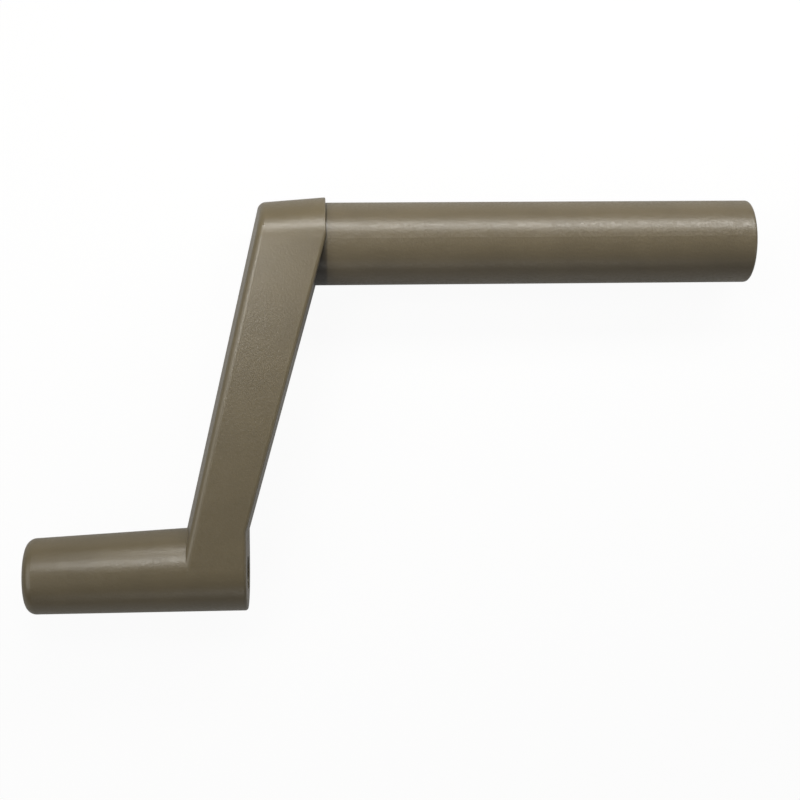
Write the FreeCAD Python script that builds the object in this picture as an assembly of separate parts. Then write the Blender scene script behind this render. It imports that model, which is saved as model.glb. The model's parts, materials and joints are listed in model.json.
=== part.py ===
import FreeCAD, Part
import math
import os

from FreeCAD import Vector

# Crank handle: a cast crank arm, a tubular grip that turns freely, and the headed spindle that holds it.
# Millimetres. The handle lies flat: X runs along the turning axis of the hub, from its socket end
# towards the arm, Y points from the hub to the grip, and Z points up. The origin is the centre of the
# hub's socket end, and the casting is the same above and below the plane Z = 0.

# Reach of the crank
CRANK_THROW = 44.0
MOUTH_REACH = 40.1
HUB_LENGTH = 29.2

# Hub
HUB_END_RADIUS = 5.0
NOSE_RADIUS = 1.4

# Keyed socket for the drive shaft, and the hole for the screw that draws the handle onto it
SHAFT_RADIUS = 3.175
SHAFT_CLEARANCE = 0.04
SOCKET_DEPTH = 14.0
KEY_WIDTH = 2.0
KEY_HEIGHT = 0.7
SCREW_RADIUS = 2.08
SCREW_CLEARANCE = 0.17

# Arm: its width across the hub's end and across the grip's axis, and its edges
ARM_FOOT_WIDTH = 8.05
ARM_HEAD_WIDTH = 10.25
FOOT_HEIGHT = 5.6
SIDE_DRAFT_DEG = 9.5
ARM_EDGE_RADIUS = 1.05
END_EDGE_RADIUS = 0.4

# Hood at the arm's head, which covers the inner end of the grip
POCKET_DEPTH = 2.25
POCKET_CLEARANCE = 0.12
FACE_LIP = 0.38
TOP_LIP = 0.72
HOOD_RISE_DEG = 4.3
MOUTH_EDGE_RADIUS = 0.18

# Grip
GRIP_RADIUS = 5.55
GRIP_SHOWING = 57.65
GRIP_EDGE_RADIUS = 0.5
END_PLAY = 0.15

# Spindle
SPINDLE_RADIUS = 2.5
SPINDLE_CLEARANCE = 0.05
PRESS_DEPTH = 5.5
TIP_CHAMFER = 0.4
HEAD_RADIUS = 3.7
HEAD_THICKNESS = 1.3
HEAD_CROWN = 0.6
HEAD_CLEARANCE = 0.3
HEAD_SETBACK = 0.5

# How far cutting solids run past the metal, and how close a point lies to a face that it is on
OVERRUN = 10.0
ON_FACE = 0.01

# Places that follow from the sizes
SOCKET_RADIUS = SHAFT_RADIUS + SHAFT_CLEARANCE
SCREW_HOLE_RADIUS = SCREW_RADIUS + SCREW_CLEARANCE
POCKET_RADIUS = GRIP_RADIUS + POCKET_CLEARANCE
MOUTH_HALF_WIDTH = POCKET_RADIUS + FACE_LIP
HOOD_TOP = CRANK_THROW + GRIP_RADIUS + TOP_LIP
POCKET_FLOOR = MOUTH_REACH - POCKET_DEPTH
GRIP_START = POCKET_FLOOR + END_PLAY
GRIP_END = MOUTH_REACH + GRIP_SHOWING
SPINDLE_START = POCKET_FLOOR - PRESS_DEPTH
HEAD_TOP = GRIP_END - HEAD_SETBACK
HEAD_SEAT = HEAD_TOP - HEAD_CROWN - HEAD_THICKNESS
GRIP_RECESS_FLOOR = HEAD_SEAT - END_PLAY
LOW = -OVERRUN - HUB_END_RADIUS
HIGH = HOOD_TOP + OVERRUN

# The casting's two flat faces part with the draft from the socket end to the mouth, and would meet here
FACE_SLOPE = (MOUTH_HALF_WIDTH - HUB_END_RADIUS) / MOUTH_REACH
FACE_SINE = FACE_SLOPE / math.hypot(1, FACE_SLOPE)
MEETING_X = -HUB_END_RADIUS / FACE_SLOPE

X_AXIS = Vector(1, 0, 0)


class RoundTaper:
    """A cone with its axis in the parting plane, whose surface runs into both flat faces."""

    def __init__(self, tilt, apex_height, seam_turn):
        self.half_angle = math.asin(FACE_SINE * math.cos(tilt))
        self.tilt = tilt
        self.seam_turn = seam_turn
        self.apex = Vector(MEETING_X, apex_height, 0)
        self.direction = Vector(math.cos(tilt), math.sin(tilt), 0)

    def radius(self, x):
        """Radius across the axis where it passes a place in X."""
        return (x - self.apex.x) / math.cos(self.tilt) * math.tan(self.half_angle)

    def solid(self, start, end):
        """The cone from one place in X to another, cut across its own axis."""
        base = self.apex + self.direction * ((start - self.apex.x) / math.cos(self.tilt))
        length = (end - start) / math.cos(self.tilt)
        cone = Part.makeCone(self.radius(start), self.radius(end), length, base, self.direction)
        return cone.rotate(base, self.direction, self.seam_turn)

    def touch(self, x):
        """Height of the line along which the cone touches the flat faces."""
        run = math.cos(self.tilt) - FACE_SINE * math.sin(self.half_angle)
        return self.apex.y + (x - self.apex.x) * math.sin(self.tilt) / run


# The hub's underside is straight, so all its draft is on top. The head's round back rises to the mouth.
HUB_TILT = math.atan(FACE_SINE)
HUB_TAPER = RoundTaper(HUB_TILT, MEETING_X * math.tan(HUB_TILT), 0)
HOOD_RISE = math.radians(HOOD_RISE_DEG)
HEAD_TILT = math.atan((math.sin(HOOD_RISE) - FACE_SINE) / math.cos(HOOD_RISE))
HEAD_TAPER = RoundTaper(HEAD_TILT, HOOD_TOP - math.tan(HOOD_RISE) * (MOUTH_REACH - MEETING_X), 180)

# The arm's left side leans from its foot on the hub to the head, and its right side from the hub's end
# to the corner where the hood's mouth begins
HEAD_CORNER = HEAD_TAPER.touch(MOUTH_REACH)
FOOT_X = HUB_LENGTH - ARM_FOOT_WIDTH
FOOT_Y = HUB_TAPER.touch(FOOT_X) + HUB_TAPER.radius(FOOT_X)
LEFT_LEAN = (MOUTH_REACH - ARM_HEAD_WIDTH - FOOT_X) / (CRANK_THROW - FOOT_Y)
RIGHT_LEAN = (MOUTH_REACH - HUB_LENGTH) / (HEAD_CORNER - FOOT_HEIGHT)
SIDE_DRAFT = math.tan(math.radians(SIDE_DRAFT_DEG))
LEFT_NORMAL = Vector(-1, LEFT_LEAN, 0).normalize()


def half_width(x):
    """Half the casting's thickness between its flat faces."""
    return HUB_END_RADIUS + FACE_SLOPE * x


def left_side(y):
    """X of the arm's left side at the parting plane."""
    return FOOT_X + LEFT_LEAN * (y - FOOT_Y)


def right_side(y):
    """X of the arm's right side: it leans up to the mouth and is square to the axis at the hub."""
    return max(HUB_LENGTH, min(MOUTH_REACH, MOUTH_REACH - RIGHT_LEAN * (HEAD_CORNER - y)))


def flat_prism(points):
    """Prism on an outline of (x, y) points, through the whole thickness and beyond."""
    depth = MOUTH_HALF_WIDTH + OVERRUN
    corners = [Vector(x, y, -depth) for x, y in points]
    return Part.Face(Part.makePolygon(corners + corners[:1])).extrude(Vector(0, 0, 2 * depth))


def between_faces(low, high):
    """The space between the two flat faces, from one height to another."""
    start, end = -OVERRUN, MOUTH_REACH + OVERRUN
    corners = [Vector(x, low, side * half_width(x)) for x, side in
               ((start, -1), (end, -1), (end, 1), (start, 1))]
    return Part.Face(Part.makePolygon(corners + corners[:1])).extrude(Vector(0, high - low, 0))


def cylinder(radius, start, end, height):
    """Round bar along X between two places, with its axis at a height in Y."""
    return Part.makeCylinder(radius, end - start, Vector(start, height, 0), X_AXIS)


def edges_where(shape, test):
    """Edges of a shape whose two ends and middle all pass a test."""
    found = []
    for edge in shape.Edges:
        middle = edge.valueAt((edge.FirstParameter + edge.LastParameter) / 2)
        if all(test(point) for point in [vertex.Point for vertex in edge.Vertexes] + [middle]):
            found.append((edge, middle))
    return found


def on_left_side(point):
    """Whether a point lies on one of the two drafted faces of the arm's left side."""
    inset = (point - Vector(left_side(point.y), point.y, 0)).dot(LEFT_NORMAL)
    return abs(inset + SIDE_DRAFT * abs(point.z)) < ON_FACE


def on_right_side(point):
    """Whether a point lies on the leaning right side, the hub's end or the hood's mouth."""
    return abs(point.x - right_side(point.y)) < ON_FACE


def draft_cutter(side):
    """Wedge that takes the draft off one half of the arm's left side, above or below the parting."""
    depth = side * (MOUTH_HALF_WIDTH + OVERRUN)
    parting = Vector(left_side(LOW), LOW, 0)
    face = parting - LEFT_NORMAL * (SIDE_DRAFT * abs(depth)) + Vector(0, 0, depth)
    outer = parting + LEFT_NORMAL * OVERRUN
    corners = [parting, face, outer + Vector(0, 0, depth), outer]
    wedge = Part.Face(Part.makePolygon(corners + corners[:1]))
    return wedge.extrude(Vector(LEFT_LEAN, 1, 0) * (HIGH - LOW))


def arm_and_head():
    """The arm with its head, with their edges rounded, down to the line where the hub begins."""
    start, end = -OVERRUN, MOUTH_REACH + OVERRUN
    above_head = flat_prism([(start, HEAD_TAPER.touch(start)), (end, HEAD_TAPER.touch(end)), (end, HIGH),
                             (start, HIGH)])
    below_hub = flat_prism([(start, HUB_TAPER.touch(start)), (end, HUB_TAPER.touch(end)), (end, LOW),
                            (start, LOW)])
    outline = flat_prism([(left_side(LOW), LOW), (HUB_LENGTH, LOW), (HUB_LENGTH, FOOT_HEIGHT),
                          (MOUTH_REACH, HEAD_CORNER), (MOUTH_REACH, HIGH), (left_side(HIGH), HIGH)])
    bar = between_faces(LOW, HIGH).cut(above_head).fuse(HEAD_TAPER.solid(start, end))
    arm = bar.common(outline).cut(draft_cutter(1)).cut(draft_cutter(-1)).removeSplitter()
    left = [edge for edge, middle in edges_where(arm, on_left_side)
            if abs(middle.z) > ON_FACE and middle.y > LOW + ON_FACE]
    arm = arm.makeFillet(ARM_EDGE_RADIUS, left)
    right = [edge for edge, middle in edges_where(arm, on_right_side)
             if abs(middle.z) > ON_FACE and LOW + ON_FACE < middle.y < HEAD_CORNER - ON_FACE]
    arm = arm.makeFillet(END_EDGE_RADIUS, right)
    mouth = [edge for edge, middle in edges_where(arm, lambda point: point.x > MOUTH_REACH - ON_FACE)
             if middle.y > HEAD_CORNER + ON_FACE]
    return arm.makeFillet(MOUTH_EDGE_RADIUS, mouth).cut(below_hub)


def hub():
    """The tapered hub, cut square at both ends, with its end and its nose rounded."""
    ends = [(0, LOW), (HUB_LENGTH, LOW), (HUB_LENGTH, HIGH), (0, HIGH)]
    taper = HUB_TAPER.solid(-OVERRUN, HUB_LENGTH + OVERRUN).common(flat_prism(ends))
    for place, radius in ((HUB_LENGTH, END_EDGE_RADIUS), (0, NOSE_RADIUS)):
        rim = [edge for edge, middle in edges_where(taper, lambda point: abs(point.x - place) < ON_FACE)]
        taper = taper.makeFillet(radius, rim)
    return taper


def shaft_socket():
    """Cutter for the keyed socket: a round hole with one keyway on the side of the arm."""
    bore = cylinder(SOCKET_RADIUS, -OVERRUN, SOCKET_DEPTH, 0)
    width = KEY_WIDTH + 2 * SHAFT_CLEARANCE
    key = Part.makeBox(SOCKET_DEPTH + OVERRUN, SOCKET_RADIUS + KEY_HEIGHT, width,
                       Vector(-OVERRUN, 0, -width / 2))
    return bore.fuse(key)


def crank_arm():
    """The casting: hub, arm and hooded head in one piece, with its socket, screw hole and pocket."""
    casting = arm_and_head().fuse(hub()).removeSplitter()
    pocket = cylinder(POCKET_RADIUS, POCKET_FLOOR, MOUTH_REACH + OVERRUN, CRANK_THROW)
    spindle_hole = cylinder(SPINDLE_RADIUS, SPINDLE_START, MOUTH_REACH, CRANK_THROW)
    screw_hole = cylinder(SCREW_HOLE_RADIUS, 0, HUB_LENGTH + OVERRUN, 0)
    for cutter in (pocket, spindle_hole, screw_hole, shaft_socket()):
        casting = casting.cut(cutter)
    return casting


def grip_sleeve():
    """The grip: a plain tube with rounded ends, recessed at its outer end for the spindle's head."""
    tube = cylinder(GRIP_RADIUS, GRIP_START, GRIP_END, CRANK_THROW)
    rims = [edge for edge, middle in edges_where(tube, lambda point: point.x > GRIP_END - ON_FACE)]
    tube = tube.makeFillet(GRIP_EDGE_RADIUS, rims)
    bore = cylinder(SPINDLE_RADIUS + SPINDLE_CLEARANCE, GRIP_START - OVERRUN, GRIP_END, CRANK_THROW)
    recess = cylinder(HEAD_RADIUS + HEAD_CLEARANCE, GRIP_RECESS_FLOOR, GRIP_END + OVERRUN, CRANK_THROW)
    return tube.cut(bore).cut(recess)


def grip_spindle():
    """The spindle, turned about its axis: chamfered press end, plain shank and crowned head."""
    shank = [(SPINDLE_START, 0), (SPINDLE_START, SPINDLE_RADIUS - TIP_CHAMFER),
             (SPINDLE_START + TIP_CHAMFER, SPINDLE_RADIUS), (HEAD_SEAT, SPINDLE_RADIUS),
             (HEAD_SEAT, HEAD_RADIUS), (HEAD_SEAT + HEAD_THICKNESS, HEAD_RADIUS)]
    points = [Vector(x, CRANK_THROW + radius, 0) for x, radius in shank]
    edges = [Part.makeLine(first, second) for first, second in zip(points, points[1:])]
    crown_radius = (HEAD_RADIUS ** 2 + HEAD_CROWN ** 2) / (2 * HEAD_CROWN)
    half_turn = math.asin(HEAD_RADIUS / crown_radius) / 2
    middle = Vector(HEAD_TOP - crown_radius * (1 - math.cos(half_turn)),
                    CRANK_THROW + crown_radius * math.sin(half_turn), 0)
    top = Vector(HEAD_TOP, CRANK_THROW, 0)
    edges.append(Part.Arc(points[-1], middle, top).toShape())
    edges.append(Part.makeLine(top, points[0]))
    return Part.Face(Part.Wire(edges)).revolve(points[0], X_AXIS, 360)


def main():
    """Build each piece and write it to its own file."""
    os.makedirs("parts", exist_ok=True)
    pieces = {"crank_arm": crank_arm(), "grip_sleeve": grip_sleeve(), "grip_spindle": grip_spindle()}
    for name, shape in pieces.items():
        shape.exportStep(f"parts/{name}.step")
        print(f"{name}: {len(shape.Solids)} solid, {shape.Volume:.1f} mm3, valid {shape.isValid()}")


main()
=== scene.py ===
"""Looks for a painted crank handle: satin enamel on the casting and the grip, turned steel inside it.

Metres. X runs along the crank's turning axis, Y from the hub to the grip, and Z up from the floor on
which the handle lies.
"""

from __future__ import annotations

import json
import logging
import math
from dataclasses import dataclass
from enum import Enum
from typing import Any

import bpy
from mathutils import Matrix, Vector

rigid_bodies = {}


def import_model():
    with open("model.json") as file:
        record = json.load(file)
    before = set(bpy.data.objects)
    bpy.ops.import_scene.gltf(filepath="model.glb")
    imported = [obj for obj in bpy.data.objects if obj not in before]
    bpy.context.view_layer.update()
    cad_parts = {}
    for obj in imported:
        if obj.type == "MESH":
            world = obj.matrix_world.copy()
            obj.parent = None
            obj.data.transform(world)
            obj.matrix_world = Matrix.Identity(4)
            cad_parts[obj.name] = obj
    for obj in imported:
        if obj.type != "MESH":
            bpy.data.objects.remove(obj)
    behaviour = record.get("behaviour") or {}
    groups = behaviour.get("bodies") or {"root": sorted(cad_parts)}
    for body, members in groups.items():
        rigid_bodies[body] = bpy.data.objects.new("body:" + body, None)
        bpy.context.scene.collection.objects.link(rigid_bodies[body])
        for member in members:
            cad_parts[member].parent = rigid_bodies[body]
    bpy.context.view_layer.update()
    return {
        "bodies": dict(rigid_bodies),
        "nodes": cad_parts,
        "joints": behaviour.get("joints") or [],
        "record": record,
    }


LOG = logging.getLogger("crank_handle")
MM = 0.001
WHITE = (1.0, 1.0, 1.0, 1.0)

Span = tuple[float, float]
Triple = tuple[float, float, float]


def mm(x: float, y: float, z: float) -> Triple:
    """A place in metres, from millimetres."""
    return (x * MM, y * MM, z * MM)


class Term:
    """A node socket that can stand in a Python expression of numbers."""

    def __init__(self, bench: Bench, socket: bpy.types.NodeSocket) -> None:
        """Wrap a socket of the tree that a bench is building."""
        self.bench = bench
        self.socket = socket

    def _maths(self, operation: str, first: Any, second: Any) -> Term:
        """Add one Math node.

        Args:
            operation: the Math node's operation.
            first: the first operand, a number or a term.
            second: the second operand, a number or a term.

        Returns:
            The node's result.
        """
        return self.bench.add("ShaderNodeMath", {"operation": operation}, {0: first, 1: second})

    def __add__(self, other: Any) -> Term:
        """Sum of two values."""
        return self._maths("ADD", self, other)

    def __radd__(self, other: Any) -> Term:
        """Sum of two values."""
        return self._maths("ADD", other, self)

    def __mul__(self, other: Any) -> Term:
        """Product of two values."""
        return self._maths("MULTIPLY", self, other)


class Bench:
    """The node tree of one material or world, with one method that makes every node."""

    def __init__(self, owner: bpy.types.Material | bpy.types.World) -> None:
        """Start an empty tree for a material or a world."""
        owner.use_nodes = True
        self.owner = owner
        self.tree = owner.node_tree
        self.tree.nodes.clear()

    def add(self, kind: str, settings: dict[str, Any] | None = None,
            inputs: dict[Any, Any] | None = None, output: Any = 0) -> Term:
        """Make a node, set it up and connect it.

        Args:
            kind: the node's type.
            settings: properties of the node, set before its sockets.
            inputs: values or terms for its sockets, by index or name.
            output: which of its outputs to return.

        Returns:
            The chosen output, or the first input of a node that has no output.
        """
        node = self.tree.nodes.new(kind)
        for key, value in (settings or {}).items():
            if key == "stops":
                self._set_stops(node, value)
            else:
                setattr(node, key, value)
        for key, value in (inputs or {}).items():
            if isinstance(value, Term):
                self.tree.links.new(value.socket, node.inputs[key])
            else:
                node.inputs[key].default_value = value
        return Term(self, node.outputs[output] if len(node.outputs) else node.inputs[0])

    def _set_stops(self, node: bpy.types.Node, stops: list[tuple[float, Triple]]) -> None:
        """Set a colour ramp's stops.

        Args:
            node: the colour ramp.
            stops: place and colour of each stop, lowest place first.
        """
        ramp = node.color_ramp.elements
        while len(ramp) < len(stops):
            ramp.new(1.0)
        for element, (place, colour) in zip(ramp, stops):
            element.position = place
            element.color = (*colour, 1.0)

    def noise(self, place: Term, size: float, detail: float = 2.0, roughness: float = 0.5) -> Term:
        """Add solid noise.

        Args:
            place: where on the piece it is read.
            size: the size of its largest lumps.
            detail: how many finer layers it has.
            roughness: how strong the finer layers are.

        Returns:
            The noise, mostly between 0.3 and 0.7.
        """
        return self.add("ShaderNodeTexNoise", inputs={
            "Vector": place, "Scale": 1 / size, "Detail": detail, "Roughness": roughness})

    def finish(self, shader: Term) -> bpy.types.Material | bpy.types.World:
        """Connect a shader to the output and hand the material or the world over."""
        is_world = isinstance(self.owner, bpy.types.World)
        kind = "ShaderNodeOutputWorld" if is_world else "ShaderNodeOutputMaterial"
        self.add(kind, inputs={"Surface": shader})
        return self.owner


class Ray(Enum):
    """The kinds of ray that the studio treats in their own way, by the Light Path node's outputs."""

    CAMERA = "Is Camera Ray"
    GLOSSY = "Is Glossy Ray"
    CLEAR = "Is Transmission Ray"

    def on(self, bench: Bench) -> Term:
        """One where a ray is of this kind, and nought elsewhere."""
        return bench.add("ShaderNodeLightPath", output=self.value)


@dataclass(frozen=True)
class PaintedGapShade:
    """Painted shade: the colour darkened at the mouth of a narrow gap, where a piece along X runs under
    another.

    Each share is a place and how much of the colour is left there. Place 0 lies the lead inside the
    mouth, and place 1 the reach outside it.
    """

    mouth: float
    lead: float = 0.2 * MM
    reach: float = 1.2 * MM
    shares: tuple[Span, ...] = ((0.0, 0.30), (0.16, 0.42), (0.32, 0.86), (1.0, 1.0))

    def shade(self, bench: Bench, place: Term, colour: Term) -> Term:
        """Darken a colour up to the mouth, as painted shade.

        Args:
            bench: the tree to build in.
            place: the place on the piece.
            colour: the colour outside the painted shade.

        Returns:
            The colour, darkened with painted shade.
        """
        # painted shade: the colour is multiplied down towards the gap's mouth
        along = bench.add("ShaderNodeSeparateXYZ", inputs={0: place}, output="X")
        way_out = bench.add("ShaderNodeMapRange", inputs={
            "Value": along, "From Min": self.mouth - self.lead, "From Max": self.mouth + self.reach})
        stops = [(at, (share, share, share)) for at, share in self.shares]
        left = bench.add("ShaderNodeValToRGB", {"stops": stops}, {"Fac": way_out})
        return bench.add("ShaderNodeVectorMath", {"operation": "MULTIPLY"}, {0: colour, 1: left})


@dataclass(frozen=True)
class SatinEnamel:
    """Sprayed satin enamel, with the fine orange peel and the faint mottling that spraying leaves.

    Mottle and speckle are how far the colour and the roughness swing, and each span is the part of
    the noise that they swing over.
    """

    name: str
    colour: Triple
    roughness: float = 0.37
    gloss: float = 0.7
    mottle: float = 0.05
    mottle_size: float = 6 * MM
    mottle_span: Span = (0.35, 0.65)
    peel_size: float = 0.35 * MM
    peel_height: float = 0.018 * MM
    speckle: float = 0.085
    speckle_size: float = 0.36 * MM
    speckle_span: Span = (0.36, 0.64)

    def build(self, painted_gap_shade: PaintedGapShade | None = None) -> bpy.types.Material:
        """Build the material.

        Args:
            painted_gap_shade: painted shade that darkens the enamel at the mouth of a gap, where there
                is one.

        Returns:
            The finished enamel.
        """
        bench = Bench(bpy.data.materials.new(self.name))
        place = bench.add("ShaderNodeTexCoord", output="Object")
        cloud = bench.noise(place, self.mottle_size, detail=3.0, roughness=0.55)
        grain = bench.noise(place, self.peel_size)
        speckle = bench.noise(place, self.speckle_size)
        dark = tuple(channel * (1 - self.mottle) for channel in self.colour)
        light = tuple(channel * (1 + self.mottle) for channel in self.colour)
        colour = bench.add("ShaderNodeValToRGB", {"stops": list(zip(self.mottle_span, (dark, light)))},
                           {"Fac": cloud})
        # painted shade: the base colour is darkened where the piece runs into a gap
        if painted_gap_shade is not None:
            colour = painted_gap_shade.shade(bench, place, colour)
        rough = bench.add("ShaderNodeMapRange", inputs={
            "Value": speckle, "From Min": self.speckle_span[0], "From Max": self.speckle_span[1],
            "To Min": self.roughness - self.speckle, "To Max": self.roughness + self.speckle})
        bump = bench.add("ShaderNodeBump", inputs={
            "Strength": 1.0, "Distance": self.peel_height, "Height": grain})
        shader = bench.add("ShaderNodeBsdfPrincipled", inputs={
            "Base Color": colour, "Roughness": rough, "Normal": bump, "Specular IOR Level": self.gloss})
        return bench.finish(shader)


@dataclass(frozen=True)
class TurnedSteel:
    """Zinc-plated steel, turned about an axis along X, with the tool's fine rings on it.

    The haze is the plating's: it shades the colour and adds to the roughness.
    """

    name: str
    colour: Triple
    roughness: float = 0.34
    ring_pitch: float = 0.12 * MM
    ring_height: float = 0.002 * MM
    haze_size: float = 1.5 * MM
    haze_span: Span = (0.3, 0.7)
    haze_shade: float = 0.93
    haze_roughness: float = 0.08

    def build(self, axis_height: float) -> bpy.types.Material:
        """Build the material.

        Args:
            axis_height: the turning axis's place along Y.

        Returns:
            The finished steel.
        """
        bench = Bench(bpy.data.materials.new(self.name))
        place = bench.add("ShaderNodeTexCoord", output="Object")
        centred = bench.add("ShaderNodeVectorMath", {"operation": "SUBTRACT"},
                            {0: place, 1: (0.0, axis_height, 0.0)})
        across = bench.add("ShaderNodeVectorMath", {"operation": "MULTIPLY"},
                           {0: centred, 1: (0.0, 1.0, 1.0)})
        radius = bench.add("ShaderNodeVectorMath", {"operation": "LENGTH"}, {0: across}, output="Value")
        rings = bench.add("ShaderNodeTexNoise", {"noise_dimensions": "1D"},
                          {"W": radius * (1 / self.ring_pitch), "Scale": 1.0, "Detail": 1.0})
        haze = bench.noise(place, self.haze_size, detail=3.0)
        dull = tuple(channel * self.haze_shade for channel in self.colour)
        tint = bench.add("ShaderNodeValToRGB",
                         {"stops": list(zip(self.haze_span, (dull, self.colour)))}, {"Fac": haze})
        bump = bench.add("ShaderNodeBump", inputs={
            "Strength": 1.0, "Distance": self.ring_height, "Height": rings})
        shader = bench.add("ShaderNodeBsdfPrincipled", inputs={
            "Base Color": tint, "Metallic": 1.0,
            "Roughness": self.roughness + haze * self.haze_roughness, "Normal": bump})
        return bench.finish(shader)


@dataclass
class CrankCasting:
    """The cast crank arm, with the hood that the grip runs into."""

    node: str = "crank_arm"
    paint: SatinEnamel = SatinEnamel("casting_enamel", (0.131, 0.106, 0.062),
                                     roughness=0.345, speckle=0.055)

    def mouth(self, frame: dict[str, Any]) -> float:
        """The hood's mouth, which is the casting's highest place along X."""
        return max(vertex.co.x for vertex in frame["nodes"][self.node].data.vertices)

    def dress(self, frame: dict[str, Any]) -> None:
        """Paint the casting."""
        paint_node(frame["nodes"][self.node], self.paint.build())


@dataclass
class Grip:
    """The revolving grip."""

    hood: CrankCasting
    node: str = "grip_sleeve"
    paint: SatinEnamel = SatinEnamel("grip_enamel", (0.128, 0.104, 0.064))

    def dress(self, frame: dict[str, Any]) -> None:
        """Paint the grip, with painted shade where it runs under the hood."""
        # painted shade in the grip's colour up to the hood's mouth, standing for the shade in the gap
        painted_gap_shade = PaintedGapShade(self.hood.mouth(frame))
        LOG.info("hood's mouth at %.2f mm", painted_gap_shade.mouth / MM)
        paint_node(frame["nodes"][self.node], self.paint.build(painted_gap_shade))


@dataclass
class Spindle:
    """The headed spindle that the grip turns on."""

    node: str = "grip_spindle"
    joint: str = "grip_spin"
    finish: TurnedSteel = TurnedSteel("turned_steel", (0.60, 0.60, 0.59))

    def dress(self, frame: dict[str, Any]) -> None:
        """Give the spindle its turned finish, round the axis of the grip's joint."""
        joint = next(joint for joint in frame["joints"] if joint["name"] == self.joint)
        _, axis_height, _ = joint["pos_m"]
        paint_node(frame["nodes"][self.node], self.finish.build(axis_height))


def paint_node(node: bpy.types.Object, material: bpy.types.Material) -> None:
    """Put one material on the whole of a node.

    Args:
        node: the object to paint.
        material: its finish.
    """
    if not node.data.materials:
        node.data.materials.append(material)
    for index in range(len(node.data.materials)):
        node.data.materials[index] = material
    LOG.info("%s wears %s", node.name, material.name)


@dataclass
class PhotoCamera:
    """The camera at the photograph's viewing angle."""

    place: Triple = mm(38.94, 16.0, 199.02)
    pitch_deg: float = 2.0
    yaw_deg: float = 3.13
    roll_deg: float = 0.71
    lens: float = 66.53

    def build(self) -> None:
        """Make the camera and make it the scene's own."""
        yaw, roll = math.radians(self.yaw_deg), math.radians(self.roll_deg)
        right = Vector((math.cos(yaw) * math.cos(roll), -math.cos(yaw) * math.sin(roll), math.sin(yaw)))
        up = Vector((math.sin(roll), math.cos(roll), 0.0))
        back = right.cross(up)
        data = bpy.data.cameras.new("photo_camera")
        data.lens = self.lens
        data.sensor_width = 36.0
        data.clip_start = 0.01
        data.clip_end = 10.0
        data.dof.use_dof = False
        camera = bpy.data.objects.new("photo_camera", data)
        turn = Matrix((right, up, back)).transposed().to_4x4()
        pitch = Matrix.Rotation(math.radians(self.pitch_deg), 4, "X")
        camera.matrix_world = Matrix.Translation(Vector(self.place)) @ pitch @ turn
        bpy.context.scene.collection.objects.link(camera)
        bpy.context.scene.camera = camera
        LOG.info("camera with a %.2f mm lens", self.lens)


@dataclass(frozen=True)
class Lamp:
    """A soft rectangular lamp: its centre, the point that it faces, its size and its power."""

    centre: Triple
    target: Triple
    length: float
    breadth: float
    watts: float


class Softbox(Enum):
    """The studio's lamps."""

    KEY = Lamp(mm(108, 104, 66.5), mm(108, 44, 1), length=226 * MM, breadth=24 * MM, watts=0.150)
    HUB = Lamp(mm(0, 57, 93), mm(14, 0, -1), length=44 * MM, breadth=32 * MM, watts=0.031)
    LEFT = Lamp(mm(-120, 9, 135), mm(25, 25, 0), length=230 * MM, breadth=125 * MM, watts=0.13)
    RIGHT = Lamp(mm(300, -60, 100), mm(30, 0, 0), length=60 * MM, breadth=60 * MM, watts=0.035)
    BELOW = Lamp(mm(60, -224, 111), mm(50, 20, 0), length=200 * MM, breadth=80 * MM, watts=0.044)


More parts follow.
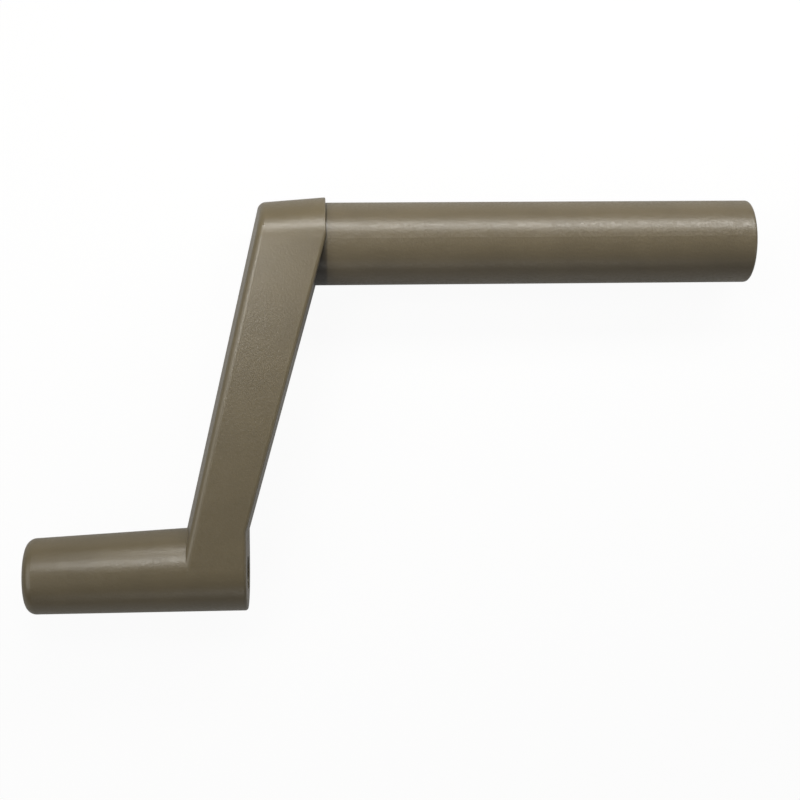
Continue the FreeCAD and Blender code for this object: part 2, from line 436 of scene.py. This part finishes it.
@dataclass
class Studio:
    """A white floor, a pale surround and soft lamps.

    The floor lies the gap below the handle's lowest point. Its paper has one tone for the camera and
    another for the light that it throws back. The glossy share is how much of the floor's white the
    enamel mirrors, and the shadow share is how much of the paper's own light and shade the camera
    sees in that white.
    """

    lowest: float
    floor_gap: float = 0.06 * MM
    floor_half: float = 1.5
    paper_seen: float = 0.85
    paper_bounce: float = 0.35
    glossy_share: float = 0.22
    shadow_share: float = 0.055
    surround: float = 0.13
    lamp_colour: Triple = (1.0, 0.985, 0.94)

    def build(self) -> None:
        """Make the floor, the surround and the lamps."""
        self._floor()
        self._surround()
        for softbox in Softbox:
            self._hang(softbox)

    def _floor(self) -> None:
        """Lay the floor under the handle, white to the camera but for the handle's shadow."""
        height = self.lowest - self.floor_gap
        LOG.info("floor at %.3f mm", height / MM)
        bpy.ops.object.select_all(action="DESELECT")
        bpy.ops.mesh.primitive_plane_add(size=2 * self.floor_half, location=(0.0, 0.0, height))
        floor = bpy.context.active_object
        floor.name = "floor"
        bench = Bench(bpy.data.materials.new("floor_paper"))
        seen = Ray.CAMERA.on(bench) + Ray.GLOSSY.on(bench) * self.glossy_share + Ray.CLEAR.on(bench)
        tone = Ray.CAMERA.on(bench) * (self.paper_seen - self.paper_bounce) + self.paper_bounce
        paper = bench.add("ShaderNodeBsdfDiffuse", inputs={"Color": tone})
        glow = bench.add("ShaderNodeEmission", inputs={"Color": WHITE, "Strength": 1.0})
        shade = bench.add("ShaderNodeMixShader",
                          inputs={0: seen * (1 - self.shadow_share), 1: paper, 2: glow})
        floor.data.materials.append(bench.finish(shade))

    def _surround(self) -> None:
        """Light the handle faintly from all round, and show white to the camera.

        The camera's white is that of the floor far from the lamps, so that no horizon shows.
        """
        world = bpy.data.worlds.new("surround")
        bpy.context.scene.world = world
        bench = Bench(world)
        far_floor = 1 - self.shadow_share * (1 - self.paper_seen * self.surround)
        soft = bench.add("ShaderNodeBackground", inputs={"Color": WHITE, "Strength": self.surround})
        white = bench.add("ShaderNodeBackground", inputs={"Color": WHITE, "Strength": far_floor})
        mixed = bench.add("ShaderNodeMixShader", inputs={0: Ray.CAMERA.on(bench), 1: soft, 2: white})
        bench.finish(mixed)

    def _hang(self, softbox: Softbox) -> None:
        """Hang one of the studio's lamps."""
        name, lamp = softbox.name.lower(), softbox.value
        data = bpy.data.lights.new(name, "AREA")
        data.shape = "RECTANGLE"
        data.size = lamp.length
        data.size_y = lamp.breadth
        data.energy = lamp.watts
        data.color = self.lamp_colour
        light = bpy.data.objects.new(name, data)
        light.location = lamp.centre
        aim = Vector(lamp.target) - Vector(lamp.centre)
        light.rotation_euler = aim.to_track_quat("-Z", "Y").to_euler()
        bpy.context.scene.collection.objects.link(light)
        LOG.info("lamp %s of %.3f W", name, lamp.watts)


def lowest_point(frame: dict[str, Any]) -> float:
    """The handle's lowest place along Z."""
    return min(vertex.co.z for node in frame["nodes"].values() for vertex in node.data.vertices)


def main() -> None:
    """Dress the handle and set up its studio."""
    logging.basicConfig(level=logging.INFO, format="%(name)s: %(message)s")
    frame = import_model()
    bpy.context.scene.view_settings.view_transform = "Standard"
    PhotoCamera().build()
    casting = CrankCasting()
    for piece in (casting, Grip(casting), Spindle()):
        piece.dress(frame)
    Studio(lowest_point(frame)).build()


if __name__ == "__main__":
    main()
